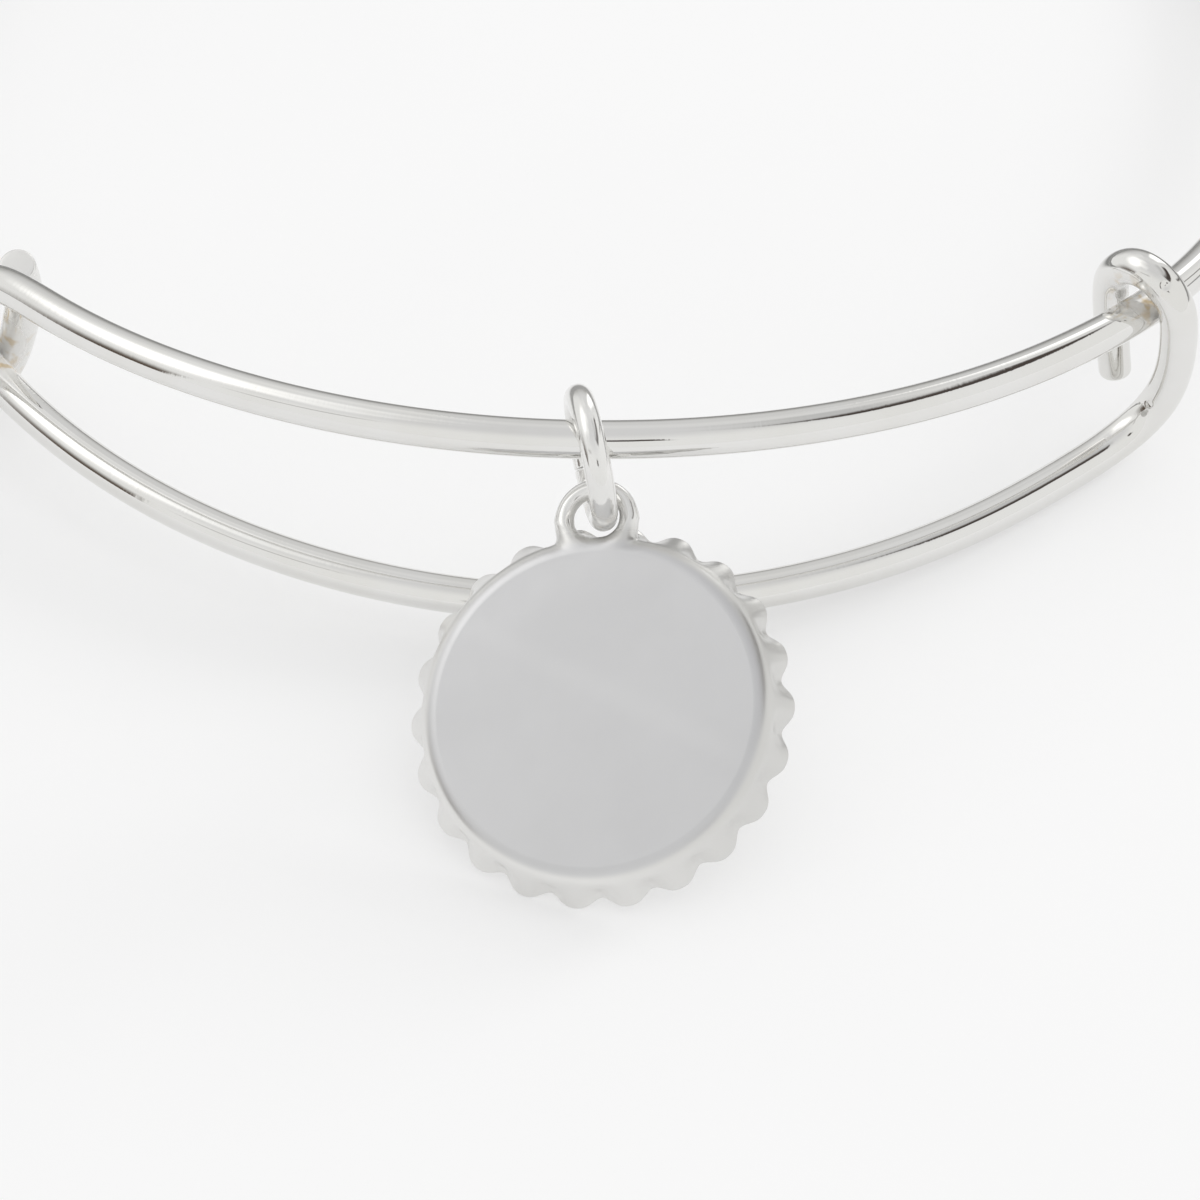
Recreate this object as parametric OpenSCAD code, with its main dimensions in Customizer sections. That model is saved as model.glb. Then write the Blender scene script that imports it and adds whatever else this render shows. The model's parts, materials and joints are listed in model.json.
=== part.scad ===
// Expanding charm bangle: one hooked wire, one jump ring and one bottle cap charm.
// Lengths are millimetres. It lies on its side on the plane z = 0, charm towards -Y.
// Turns are degrees to the left round the hoop, counted from its front centre.

/* [Wire] */
// Diameter of the bangle's wire
wire_d = 1.7; // [1.4:0.05:2.2]
// Rounding of the rim at each cut end of the wire
end_round = 0.45; // [0.2:0.05:0.6]
// Sides of the wire's round section
wire_sides = 16; // [10:2:20]

/* [Hoop] */
// Clear width across the inside of the hoop
inner_d = 63.3; // [54:0.1:74]
// Climb of the upper strand above the lower one, where it is greatest
strand_rise = 10.4; // [8.5:0.1:13]
// Turn of that place, to the left of the front centre
crest_turn = 5; // [-10:1:15]
// Turn on each side of it over which the upper strand climbs
rise_span = 136; // [130:1:165]

/* [Hooks] */
// Turn from the front centre to the right hook
right_turn = 49.5; // [40:0.5:60]
// Turn from the front centre to the left hook
left_turn = 57.5; // [40:0.5:65]
// Gap between a hook and the strand that it slides on
hook_gap = 0.2; // [0.05:0.05:0.4]
// Play between the strand and the crown of the right hook
right_play = 0.1; // [0:0.1:2]
// Length of the right hook's free leg past the middle of the strand
right_tail = 5.1; // [3:0.1:7]
// Length of the left hook's free leg past the middle of the strand
left_tail = 5.8; // [3:0.1:9]
// How far the right hook's free leg leans out under its strand
right_lean = 0.4; // [0:0.05:0.8]
// How far the left hook's free leg leans out over its strand
left_lean = 0.05; // [0:0.05:0.8]
// Turn over which a strand bends into its hook
bend_turn = 7; // [4:0.5:10]

/* [Jump ring] */
// Diameter of the ring's wire
ring_wire_d = 1.2; // [0.8:0.1:1.4]
// Clear width across the inside of the ring
ring_inner_d = 4.1; // [3.6:0.1:5]
// Swing of the bail outwards round the inside of the ring
bail_swing = 45; // [0:1:60]
// Swing of the ring to the right from hanging straight down
ring_side_swing = 5.5; // [0:0.5:12]
// Turn of the ring about its hanging line
ring_yaw = 8; // [0:1:20]
// Turn from the front centre to the place where the ring hangs
ring_turn = 0.6; // [-5:0.2:5]
// Gap left where the ring bears on the strand and on the bail
link_gap = 0.09; // [0.07:0.01:0.12]

/* [Charm] */
// Diameter of the charm's flat back with its rounded shoulder
back_d = 15.4; // [12:0.1:20]
// Diameter over the tips of the flutes
rim_d = 16.75; // [13:0.1:22]
// Thickness of the charm
cap_depth = 1.7; // [1.5:0.1:2.6]
// Radius of the shoulder round the flat back
shoulder_r = 0.5; // [0.3:0.05:0.7]
// Depth of the flutes at the widest part of the rim
flute_depth = 0.6; // [0.3:0.05:0.9]
// Number of flutes
flutes = 22; // [18:1:26]
// Roll of the charm about its long axis, left side down
charm_roll = 12; // [0:1:18]
// Turn of the charm in its own plane, about its bail
charm_turn = 2; // [0:0.5:6]

/* [Bail] */
// Diameter of the bail's wire
bail_wire_d = 0.8; // [0.7:0.02:1]
// Clear width across the bail's hole
bail_hole_d = 2.2; // [1.9:0.1:2.6]
// Depth of the middle of the bail below the flat back
bail_depth = 0.6; // [0.5:0.05:1]
// How far the cap's edge reaches into the bail's hole
bail_sink = 0.45; // [0:0.05:0.5]

/* [Hidden] */
wire_r = wire_d / 2;
hoop_r = inner_d / 2 + wire_r;
hook_r = wire_d + hook_gap;

// Fineness: degrees to a step round the hoop, steps in a crown, bend, free leg and flute,
// and sides of the jump ring and bail
hoop_step = 4;
arc_steps = 8;
bend_steps = 7;
tail_steps = 3;
flute_steps = 8;
link_fn = 48;

ring_r = (ring_inner_d + ring_wire_d) / 2;
bail_r = (bail_hole_d + bail_wire_d) / 2;
bail_up = back_d / 2 + bail_hole_d / 2 - bail_sink;

// Sections of the charm from its flat back to its plain front, with the columns
// place between the flat's edge and the rim, place between back and front, share of the flutes
SECTION_OUT = 0;
SECTION_DOWN = 1;
SECTION_FLUTE = 2;
skirt_sections = [
    [0.12, 0.34, 0.25],
    [0.50, 0.55, 0.70],
    [0.88, 0.76, 1.00],
    [1.00, 0.88, 1.00],
    [0.80, 1.00, 0.90]
];

// Small helpers
function unit(v) = v / norm(v);
function bezier(a, b, c, d, t) =
    pow(1 - t, 3) * a + 3 * pow(1 - t, 2) * t * b + 3 * (1 - t) * t * t * c + pow(t, 3) * d;

// A point at a turn round the hoop
function at_turn(turn, r, z) = [-r * sin(turn), -r * cos(turn), z];

// Share of the upper strand's climb that is reached at a turn
function climb(turn) =
    let (u = min(abs(turn - 360 - crest_turn) / rise_span, 1))
    (1 + cos(180 * u)) / 2;

// The lower turn lies in the plane of three feet: the left hook holds it off the surface,
// and it touches down by the right hook and a little past the place where the climb ends
foot_height = wire_r + hook_r;
foot_lead = 3;
right_foot_turn = right_turn - bend_turn;
back_foot_turn = 360 + crest_turn - rise_span + foot_lead;
feet = [
    at_turn(left_turn, hoop_r, foot_height),
    at_turn(-right_foot_turn, hoop_r, wire_r),
    at_turn(back_foot_turn, hoop_r, wire_r)
];
lay = cross(feet[1] - feet[0], feet[2] - feet[0]);
function lay_z(p) = feet[0].z - (lay.x * (p.x - feet[0].x) + lay.y * (p.y - feet[0].y)) / lay.z;

function strand_z(turn) = lay_z(at_turn(turn, hoop_r, 0)) + strand_rise * climb(turn);

// Each hook slides on the other strand, here at its height
right_z = strand_z(360 - right_turn);
left_z = strand_z(left_turn);

last_turn = 360 + left_turn;
function strand_point(turn) = at_turn(turn, hoop_r, strand_z(turn));
function strand_way(turn) = unit(strand_point(turn + 1) - strand_point(turn - 1));

// A hook from its free end to its strand: free leg, crown, outer leg
// up is 1 for a crown above the strand and -1 for one below it
function hook_leg(turn, z, up, tail, lean, play) = concat(
    [for (k = [0:tail_steps - 1])
        let (share = 1 - k / tail_steps)
        at_turn(turn, hoop_r - hook_r + lean * share * share, z - up * tail * share)],
    [for (k = [0:arc_steps])
        at_turn(turn,
            hoop_r - hook_r * cos(180 * k / arc_steps),
            z + up * (play + hook_r * sin(180 * k / arc_steps)))]
);

// The bend from a hook's outer leg to its strand
function bend(leg_end, leg_way, start, way) =
    let (reach = norm(start - leg_end) / 2)
    [for (k = [1:bend_steps - 1])
        bezier(leg_end, leg_end + reach * leg_way, start - reach * way, start, k / bend_steps)];

first_turn = -(right_turn - bend_turn);
end_turn = last_turn - bend_turn;
hoop_steps = round((end_turn - first_turn) / hoop_step);

right_hook = hook_leg(-right_turn, right_z, 1, right_tail, right_lean, right_play);
left_hook = hook_leg(last_turn, left_z, -1, left_tail, left_lean, 0);
right_bend = bend(right_hook[len(right_hook) - 1], [0, 0, -1],
    strand_point(first_turn), strand_way(first_turn));
left_bend = bend(left_hook[len(left_hook) - 1], [0, 0, 1],
    strand_point(end_turn), -strand_way(end_turn));
strand = [for (k = [0:hoop_steps])
    strand_point(first_turn + (end_turn - first_turn) * k / hoop_steps)];

function reversed(list) = [for (k = [len(list) - 1:-1:0]) list[k]];
wire_path = concat(right_hook, right_bend, strand, reversed(left_bend), reversed(left_hook));

// Rings of the swept wire as [middle, radius]: the rim of each cut end is rounded
end_angles = [0:30:90];
function end_rings(tip, next) = [for (a = end_angles)
    [tip + unit(next - tip) * end_round * (1 - cos(a)), wire_r - end_round * (1 - sin(a))]];
last_point = len(wire_path) - 1;
wire_rings = concat(
    end_rings(wire_path[0], wire_path[1]),
    [for (k = [1:last_point - 1]) [wire_path[k], wire_r]],
    reversed(end_rings(wire_path[last_point], wire_path[last_point - 1]))
);

// Sweep a round section along rings of [middle, radius], without twist
module sweep(rings, sides) {
    n = len(rings);
    ways = [for (k = [0:n - 1])
        unit(rings[min(k + 1, n - 1)][0] - rings[max(k - 1, 0)][0])];
    start = unit(cross(ways[0], [1, 0, 0]));
    sides_of = [for (k = 0, s = start; k < n;
        k = k + 1, s = k < n ? unit(s - (s * ways[k]) * ways[k]) : s) s];
    points = [for (k = [0:n - 1]) for (j = [0:sides - 1])
        let (across = sides_of[k], over = cross(ways[k], across), a = 360 * j / sides)
        rings[k][0] + rings[k][1] * (cos(a) * across + sin(a) * over)];
    walls = [for (k = [0:n - 2]) for (j = [0:sides - 1])
        let (m = (j + 1) % sides)
        [k * sides + j, (k + 1) * sides + j, (k + 1) * sides + m, k * sides + m]];
    first_end = [for (j = [0:sides - 1]) j];
    last_end = [for (j = [sides - 1:-1:0]) (n - 1) * sides + j];
    polyhedron(points = points, faces = concat([first_end], walls, [last_end]));
}

// The jump ring hangs on the upper strand at the front centre and carries the bail
strand_top = strand_point(360 + ring_turn);
strand_to_ring = ring_inner_d / 2 - wire_r - link_gap;
ring_to_bail = ring_inner_d / 2 - bail_wire_d / 2 - link_gap;
function hang_way(swing) =
    let (across = sin(ring_yaw) * sin(swing))
    [
        cos(ring_side_swing) * across + sin(ring_side_swing) * cos(swing),
        -cos(ring_yaw) * sin(swing),
        sin(ring_side_swing) * across - cos(ring_side_swing) * cos(swing)
    ];
ring_middle = strand_top + strand_to_ring * hang_way(0);
bail_top = ring_middle + ring_to_bail * hang_way(bail_swing);

// The charm's sections as [radius, depth, flute depth], shoulder first
flat_r = back_d / 2 - shoulder_r;
shoulder_angles = [0:30:90];
cap_sections = concat(
    [for (a = shoulder_angles)
        [flat_r + shoulder_r * sin(a), shoulder_r * (1 - cos(a)), 0]],
    [for (s = skirt_sections)
        [back_d / 2 + (rim_d - back_d) / 2 * s[SECTION_OUT],
            cap_depth * s[SECTION_DOWN],
            flute_depth * s[SECTION_FLUTE]]]
);

// Height that the bail needs when the charm's rim rests on the surface at a lean
bail_to_centre = bail_up + bail_r;
function needed_height(lean) = max([for (s = cap_sections)
    bail_to_centre * (cos(charm_turn) * sin(lean) + sin(charm_turn) * sin(charm_roll) * cos(lean))
    + s[0] * norm([sin(lean), sin(charm_roll) * cos(lean)])
    + (s[1] - bail_depth) * cos(charm_roll) * cos(lean)]);

// The lean at which the rim rests on the surface, found by halving
function rest_lean(low, high, left) =
    left == 0 ? (low + high) / 2
    : let (middle = (low + high) / 2)
        needed_height(middle) < bail_top.z
            ? rest_lean(middle, high, left - 1)
            : rest_lean(low, middle, left - 1);
charm_lean = rest_lean(0, 90, 24);

// Outline of the charm at a section: broad tips and tighter valleys
tip_sharpness = 0.18;
function flute_wave(a) = (cos(flutes * a) - tip_sharpness * cos(2 * flutes * a)
    - 1 + tip_sharpness) / 2;

module fluted_cap() {
    columns = flutes * flute_steps;
    levels = len(cap_sections);
    points = [for (s = cap_sections) for (k = [0:columns - 1])
        let (a = 360 * k / columns, r = s[0] + s[2] * flute_wave(a))
        [r * sin(a + 180 / flutes), r * cos(a + 180 / flutes), -s[1]]];
    walls = [for (l = [0:levels - 2]) for (k = [0:columns - 1])
        let (m = (k + 1) % columns)
        [l * columns + k, (l + 1) * columns + k, (l + 1) * columns + m, l * columns + m]];
    back = [for (k = [0:columns - 1]) k];
    front = [for (k = [columns - 1:-1:0]) (levels - 1) * columns + k];
    polyhedron(points = points, faces = concat([back], walls, [front]));
}

module torus(r, wire) {
    rotate_extrude($fn = link_fn) translate([r, 0]) circle(d = wire, $fn = link_fn);
}

// One wire, bent into a hoop of two overlapping strands with a hook at each end
module bangle_wire() {
    color("silver") sweep(wire_rings, wire_sides);
}

module jump_ring() {
    color("gainsboro")
        translate(ring_middle)
            rotate([0, -ring_side_swing, 0])
                rotate([0, 0, ring_yaw])
                    rotate([0, 90, 0])
                        torus(ring_r, ring_wire_d);
}

// Cast in one piece: the fluted cap with its bail
module bottle_cap_charm() {
    color("lightgray")
        translate(bail_top)
            rotate([charm_lean, 0, 0])
                rotate([0, -charm_roll, 0])
                    rotate([0, 0, -charm_turn])
                        translate([0, -bail_to_centre, bail_depth]) {
                            fluted_cap();
                            translate([0, bail_up, -bail_depth]) torus(bail_r, bail_wire_d);
                        }
}

bangle_wire();
jump_ring();
bottle_cap_charm();
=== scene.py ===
# %% [markdown]
# # A charm bangle, modelled and lit
# The bangle is one silver-plated wire, bent into a hoop whose two ends overlap in front.
# A small ring hangs on the upper strand and carries a cast charm in the shape of a bottle cap.
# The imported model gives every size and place. This lesson builds the pieces that are seen
# over it, finishes them in silver and lights them like a small studio photograph.

# %% Load the frame
import json
import math
import bmesh
import bpy
from mathutils import Matrix, Vector
from mathutils.kdtree import KDTree

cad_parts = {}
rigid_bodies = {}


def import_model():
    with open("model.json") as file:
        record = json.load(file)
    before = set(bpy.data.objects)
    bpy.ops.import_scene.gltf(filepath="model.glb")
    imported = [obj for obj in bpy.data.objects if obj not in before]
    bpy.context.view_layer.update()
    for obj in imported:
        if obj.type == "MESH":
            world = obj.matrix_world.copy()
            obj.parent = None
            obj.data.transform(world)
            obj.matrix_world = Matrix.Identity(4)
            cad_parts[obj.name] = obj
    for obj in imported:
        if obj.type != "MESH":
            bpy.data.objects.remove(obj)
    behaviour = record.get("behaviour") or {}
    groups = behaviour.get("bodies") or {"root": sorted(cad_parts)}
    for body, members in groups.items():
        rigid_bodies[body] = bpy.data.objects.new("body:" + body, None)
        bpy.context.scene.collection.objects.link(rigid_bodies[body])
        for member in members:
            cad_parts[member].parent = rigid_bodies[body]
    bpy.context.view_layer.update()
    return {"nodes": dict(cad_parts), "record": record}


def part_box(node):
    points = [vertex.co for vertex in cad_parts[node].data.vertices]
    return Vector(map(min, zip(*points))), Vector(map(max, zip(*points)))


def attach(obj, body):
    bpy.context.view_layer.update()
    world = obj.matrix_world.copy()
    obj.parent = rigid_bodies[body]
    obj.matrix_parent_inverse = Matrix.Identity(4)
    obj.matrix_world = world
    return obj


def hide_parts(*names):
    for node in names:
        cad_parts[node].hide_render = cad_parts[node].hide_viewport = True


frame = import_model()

MM = 0.001
for node_name in frame["nodes"]:
    low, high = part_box(node_name)
    print(node_name, "in mm:", [round(v / MM, 2) for v in (*low, *high)])

# %% [markdown]
# ## The camera
# The photograph looks down on the front of the hoop at 47 degrees, from about a third of a
# metre, with a long lens that keeps the far side of the hoop out of view. The camera comes
# first, so that each piece can be judged from the place it will be seen from. It could be
# turned by eye, but here its place follows from the angle, the distance and a slight roll.

# %% Place the camera
LOOK_AT = Vector((0, -30.7 * MM, 0))
CAMERA_ELEVATION = math.radians(47)
CAMERA_ROLL = math.radians(-2)
CAMERA_DISTANCE = 320 * MM
SENSOR_WIDTH = 36
LENS_LENGTH = 216.5

turned = (Matrix.Rotation(math.pi / 2 - CAMERA_ELEVATION, 3, "X")
          @ Matrix.Rotation(CAMERA_ROLL, 3, "Z"))
to_camera = turned @ Vector((0, 0, 1))
bpy.ops.object.camera_add(location=LOOK_AT + CAMERA_DISTANCE * to_camera, rotation=turned.to_euler())
camera = bpy.context.object
camera.name = "long_lens"
camera.data.sensor_width = SENSOR_WIDTH
camera.data.lens = LENS_LENGTH
camera.data.clip_start = 10 * MM
camera.data.clip_end = 10
camera.data.dof.use_dof = False
bpy.context.scene.camera = camera
print("camera at", [round(v / MM, 1) for v in camera.location], "mm")

# %% [markdown]
# ## Small helpers for working as by hand
# An operator in Blender acts on whatever is selected, so each step first clears the
# selection and then picks vertices, edges or faces by their place. These few helpers do
# the picking, so that the steps below read like the moves of a hand on the mesh.

# %% Helpers for selecting
def take(piece):
    """Leave edit mode and make this the only selected object."""
    if bpy.context.mode != "OBJECT":
        bpy.ops.object.mode_set(mode="OBJECT")
    bpy.ops.object.select_all(action="DESELECT")
    piece.select_set(True)
    bpy.context.view_layer.objects.active = piece


def open_up(piece, unit="VERT"):
    """Enter edit mode with nothing selected."""
    take(piece)
    bpy.ops.object.mode_set(mode="EDIT")
    bpy.ops.mesh.select_mode(type=unit)
    bpy.ops.mesh.select_all(action="DESELECT")


def pick(piece, test, unit="verts"):
    """In edit mode, select just the vertices, edges or faces that pass the test."""
    bpy.ops.mesh.select_all(action="DESELECT")
    mesh = bmesh.from_edit_mesh(piece.data)
    found = [item for item in getattr(mesh, unit) if test(item)]
    for item in found:
        item.select_set(True)
    mesh.select_flush_mode()
    bmesh.update_edit_mesh(piece.data)
    return len(found)


def apply_modifier(piece, kind, **settings):
    take(piece)
    modifier = piece.modifiers.new(kind.lower(), kind)
    for key, value in settings.items():
        setattr(modifier, key, value)
    bpy.ops.object.modifier_apply(modifier=modifier.name)


def report(piece):
    lows = [min(v.co[i] for v in piece.data.vertices) / MM for i in range(3)]
    highs = [max(v.co[i] for v in piece.data.vertices) / MM for i in range(3)]
    triangles = sum(len(p.vertices) - 2 for p in piece.data.polygons)
    print(piece.name, "has", triangles, "triangles and spans", [round(v, 2) for v in (*lows, *highs)])


# %% [markdown]
# ## The hooked wire
# On the real bangle this is one length of round wire: a hoop with an upper and a lower
# strand in front, and at each end a U-shaped hook that slides on the other strand. It could
# be drawn again as a curve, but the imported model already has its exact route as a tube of
# sixteen flat sides. So a copy of that mesh is taken, its loose triangles are merged and
# paired back into four-sided faces, and a subdivision surface makes the tube truly round.
# That surface runs inside its cage, so the cage is fattened by just as much beforehand.

# %% Copy and clean the wire's cage
WIRE_SIDES = 16
WIRE_RADIUS = 0.85 * MM
MERGE = 0.001 * MM

wire = bpy.data.objects.new("hooked_wire", frame["nodes"]["bangle_wire"].data.copy())
bpy.context.scene.collection.objects.link(wire)
wire.data.materials.clear()
open_up(wire)
bpy.ops.mesh.select_all(action="SELECT")
bpy.ops.mesh.remove_doubles(threshold=MERGE)
bpy.ops.mesh.tris_convert_to_quads(face_threshold=math.radians(40), shape_threshold=math.radians(80))
bpy.ops.mesh.select_all(action="SELECT")
bpy.ops.mesh.normals_make_consistent(inside=False)
sides_of_faces = {}
for face in bmesh.from_edit_mesh(wire.data).faces:
    sides_of_faces[len(face.verts)] = sides_of_faces.get(len(face.verts), 0) + 1
print("faces by number of sides:", sides_of_faces)

# %% [markdown]
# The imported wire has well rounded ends, while the real one was cut square and only its rim
# was taken off. So the round cap of each end is deleted, the open rim is extruded straight
# on to where the cap ended, closed with one face and bevelled a little. The caps are found
# by their place: every corner of such a face lies close to the middle of the cut.

# %% Cut both ends square
RIGHT_END = Vector((23.57, -20.13, 2.45)) * MM
LEFT_END = Vector((-25.85, -16.47, 8.55)) * MM
END_REACH = 0.98 * MM
END_BEVEL = 0.13 * MM

for end in (RIGHT_END, LEFT_END):
    caps = pick(wire, lambda face: all((v.co - end).length < END_REACH for v in face.verts), "faces")
    bpy.ops.mesh.delete(type="FACE")
    pick(wire, lambda edge: edge.is_boundary, "edges")
    rim = [v.co.copy() for v in bmesh.from_edit_mesh(wire.data).verts if v.select]
    rim_middle = sum(rim, Vector()) / len(rim)
    onward = (rim[0] - rim_middle).cross(rim[len(rim) // 3] - rim_middle).normalized()
    bpy.ops.mesh.extrude_edges_indiv()
    bpy.ops.transform.translate(value=onward * (end - rim_middle).dot(onward))
    bpy.ops.mesh.edge_face_add()
    bpy.ops.mesh.bevel(offset=END_BEVEL, segments=2)
    print("faces of the cap:", caps, "rim of", len(rim), "vertices, extruded by",
          round(abs((end - rim_middle).dot(onward)) / MM, 3), "mm")

# %% [markdown]
# Drawn wire carries fine lines that run along it, through every bend. For those lines the
# finish needs to know where each point would lie if the wire were pulled straight. Starting
# from a cut end, the rings of the cage are followed one by one, and each vertex is given
# its place on that straight wire as an attribute, which the material reads later.

# %% Note each vertex's place on the straight wire
def lay_straight(piece, end, radius):
    take(piece)
    mesh = bmesh.new()
    mesh.from_mesh(piece.data)
    place = mesh.verts.layers.float_vector.new("laid_straight")
    end_face = min(mesh.faces, key=lambda face: (face.calc_center_median() - end).length)
    ring, done, along, rings = list(end_face.verts), set(), 0, 0
    while ring:
        middle = sum((v.co for v in ring), Vector()) / len(ring)
        for number, vertex in enumerate(ring):
            turn = 2 * math.pi * number / len(ring)
            vertex[place] = (radius * math.cos(turn), radius * math.sin(turn), along)
        done.update(ring)
        onward = [[e.other_vert(v) for e in v.link_edges if e.other_vert(v) not in done] for v in ring]
        ring = [step[0] for step in onward if step]
        if ring:
            along += (sum((v.co for v in ring), Vector()) / len(ring) - middle).length
            rings += 1
    mesh.to_mesh(piece.data)
    mesh.free()
    print(piece.name, "is", round(along / MM, 1), "mm long, in", rings + 1, "rings")


lay_straight(wire, RIGHT_END, WIRE_RADIUS)

# %% [markdown]
# Two ends bent by hand are never quite alike. Each hook is pulled, by less than a
# millimetre, to where the photograph shows it, with the soft falloff of proportional
# editing. The falloff follows the wire, so the strand inside the hook stays where it is.
# The wire could be bent anew along a corrected curve, but then every ring of the cage would
# have to be placed again, while a soft pull leaves the rest of it alone.

# %% Settle the hooks
def pick_rings(piece, along, reach):
    """In edit mode, select the rings of the cage that lie near a length along the wire."""
    place = bmesh.from_edit_mesh(piece.data).verts.layers.float_vector["laid_straight"]
    return pick(piece, lambda v: abs(v[place].z - along) < reach)


def softly(reach):
    return {"use_proportional_edit": True, "use_proportional_connected": True,
            "proportional_edit_falloff": "SMOOTH", "proportional_size": reach}


# Length along the wire from the right end, its tolerance, the pull and its reach, all in mm
PULLS = [
    (8.19, 0.3, (-0.10, 0.06, 0.30), 4.5),
    (17.4, 0.7, (0.17, -0.15, 0.0), 6.0),
    (217.9, 1.3, (0.0, -0.06, -0.08), 8.0),
    (293.75, 0.5, (-0.44, 0.66, 0.0), 5.5),
    (297.8, 1.1, (0.42, 0.0, 0.0), 3.0),
]
open_up(wire)
for along, tolerance, shift, reach in PULLS:
    picked = pick_rings(wire, along * MM, tolerance * MM)
    bpy.ops.transform.translate(value=Vector(shift) * MM, **softly(reach * MM))
    print("pulled", picked, "vertices at", along, "mm by", shift)

# %% [markdown]
# The free leg on the right was pinched a little thinner by the cutter, and the end on the
# left was cut at a slant, so that its face looks towards the camera. The slant could be
# sliced off, which would shorten the wire. So the last rings are turned instead, and each
# is stretched by as much as a slanting cut through a round wire is longer than a square one.

# %% Pinch the right end and slant the left one
WIRE_LENGTH = 300.66 * MM
END_RINGS = 0.5 * MM
ONE_RING = 0.01 * MM
PINCH = 0.87
PINCH_REACH = 5 * MM
RIGHT_END_PULL = (0, 0, 0.14 * MM)
LEFT_END_PULL = (0.1 * MM, 0, -0.45 * MM)
END_PULL_REACH = 3 * MM
SLANT = math.radians(17)

pick_rings(wire, 0, END_RINGS)
bpy.ops.transform.resize(value=(PINCH, PINCH, 1), center_override=RIGHT_END, **softly(PINCH_REACH))
bpy.ops.transform.translate(value=RIGHT_END_PULL, **softly(END_PULL_REACH))
pick_rings(wire, WIRE_LENGTH, END_RINGS)
bpy.ops.transform.translate(value=LEFT_END_PULL, **softly(END_PULL_REACH))

cage = bmesh.from_edit_mesh(wire.data)
laid = cage.verts.layers.float_vector["laid_straight"]
longer = 1 / math.cos(SLANT)
for along in sorted({round(v[laid].z, 6) for v in cage.verts if v.select}):
    pick_rings(wire, along, ONE_RING)
    rim = [v.co.copy() for v in bmesh.from_edit_mesh(wire.data).verts if v.select]
    rim_middle = sum(rim, Vector()) / len(rim)
    bpy.ops.transform.rotate(value=-SLANT, orient_axis="X", center_override=rim_middle)
    bpy.ops.transform.resize(value=(1, longer, longer), center_override=rim_middle)
end_face = min(bmesh.from_edit_mesh(wire.data).faces,
               key=lambda face: (face.calc_center_median() - rim_middle).length)
end_face.normal_update()
print("left end's middle in mm:", [round(c / MM, 2) for c in rim_middle],
      "facing", [round(c, 2) for c in end_face.normal])

# %% [markdown]
# Now the cage is fattened and made round. A closed ring of sixteen corners shrinks to the
# share (4 + 2 cos 22.5) / 6 of its radius under the subdivision surface, so the cage grows
# by what is missing.

# %% Fatten and round the wire
def rounding_share(sides):
    return (4 + 2 * math.cos(2 * math.pi / sides)) / 6


open_up(wire)
bpy.ops.mesh.select_all(action="SELECT")
bpy.ops.transform.shrink_fatten(value=WIRE_RADIUS * (1 / rounding_share(WIRE_SIDES) - 1))
apply_modifier(wire, "SUBSURF", levels=2, render_levels=2)
bpy.ops.object.shade_smooth()
report(wire)

# %% [markdown]
# ## The jump ring
# A jump ring is a short piece of round wire, bent into a circle until its two cut ends
# meet. A torus would do from afar, but it has no joint. So a disc is spun round the ring's
# axis by a little less than a full turn, which leaves the hairline joint, and its two rims
# there are bevelled. The ring is made flat and then turned to how it hangs in the frame.

# %% Spin the ring
RING_RADIUS = 2.65 * MM
RING_WIRE_RADIUS = 0.6 * MM
RING_SIDES = 24
RING_STEPS = 90
RING_JOINT = 0.05 * MM

bpy.ops.mesh.primitive_circle_add(
    vertices=RING_SIDES, radius=RING_WIRE_RADIUS / rounding_share(RING_SIDES), fill_type="NGON",
    location=(RING_RADIUS, 0, 0), rotation=(math.pi / 2, 0, 0))
ring = bpy.context.object
ring.name = "closed_ring"
bpy.ops.object.transform_apply(location=True, rotation=True)
open_up(ring)
bpy.ops.mesh.select_all(action="SELECT")
bpy.ops.mesh.spin(steps=RING_STEPS, angle=2 * math.pi - RING_JOINT / RING_RADIUS,
                  center=(0, 0, 0), axis=(0, 0, 1))
bpy.ops.mesh.select_all(action="SELECT")
bpy.ops.mesh.normals_make_consistent(inside=False)
print("open edges left:", pick(ring, lambda edge: not edge.is_manifold, "edges"))

# %% Bevel the joint, and lay the ring out straight for its finish
JOINT_BEVEL = 0.05 * MM

open_up(ring, "EDGE")
pick(ring, lambda edge: any(len(face.verts) > 4 for face in edge.link_faces), "edges")
bpy.ops.mesh.bevel(offset=JOINT_BEVEL, segments=2)
take(ring)
lay_straight(ring, Vector((RING_RADIUS, 0, 0)), RING_WIRE_RADIUS)
apply_modifier(ring, "SUBSURF", levels=1, render_levels=1)
bpy.ops.object.shade_smooth()
report(ring)

# %% [markdown]
# The ring hangs on the upper strand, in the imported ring's place. It has a slight swing to
# the side and a slight turn about the line that it hangs on, so that its far side just
# shows on the left, as in the photograph. The joint is turned to the far lower side. It
# could all be done by eye, but two named angles are easy to try again.

# %% Hang the ring
RING_SWING = math.radians(3.5)
RING_YAW = math.radians(10)
RING_SHIFT = Vector((0.05 * MM, 0, 0))
JOINT_WAY = Vector((0, 0.56, -0.83))

low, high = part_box("jump_ring")
ring_middle = (low + high) / 2 + RING_SHIFT
ring_turn = (Matrix.Rotation(-RING_SWING, 4, "Y") @ Matrix.Rotation(RING_YAW, 4, "Z")
             @ Matrix.Rotation(math.pi / 2, 4, "Y"))
joint_way = ring_turn.inverted() @ JOINT_WAY
ring_turn = ring_turn @ Matrix.Rotation(math.atan2(joint_way.y, joint_way.x), 4, "Z")
take(ring)
ring.matrix_world = Matrix.Translation(ring_middle) @ ring_turn
bpy.ops.object.transform_apply(location=True, rotation=True)
print("ring middle in mm:", [round(v / MM, 3) for v in ring_middle])
report(ring)

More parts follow.
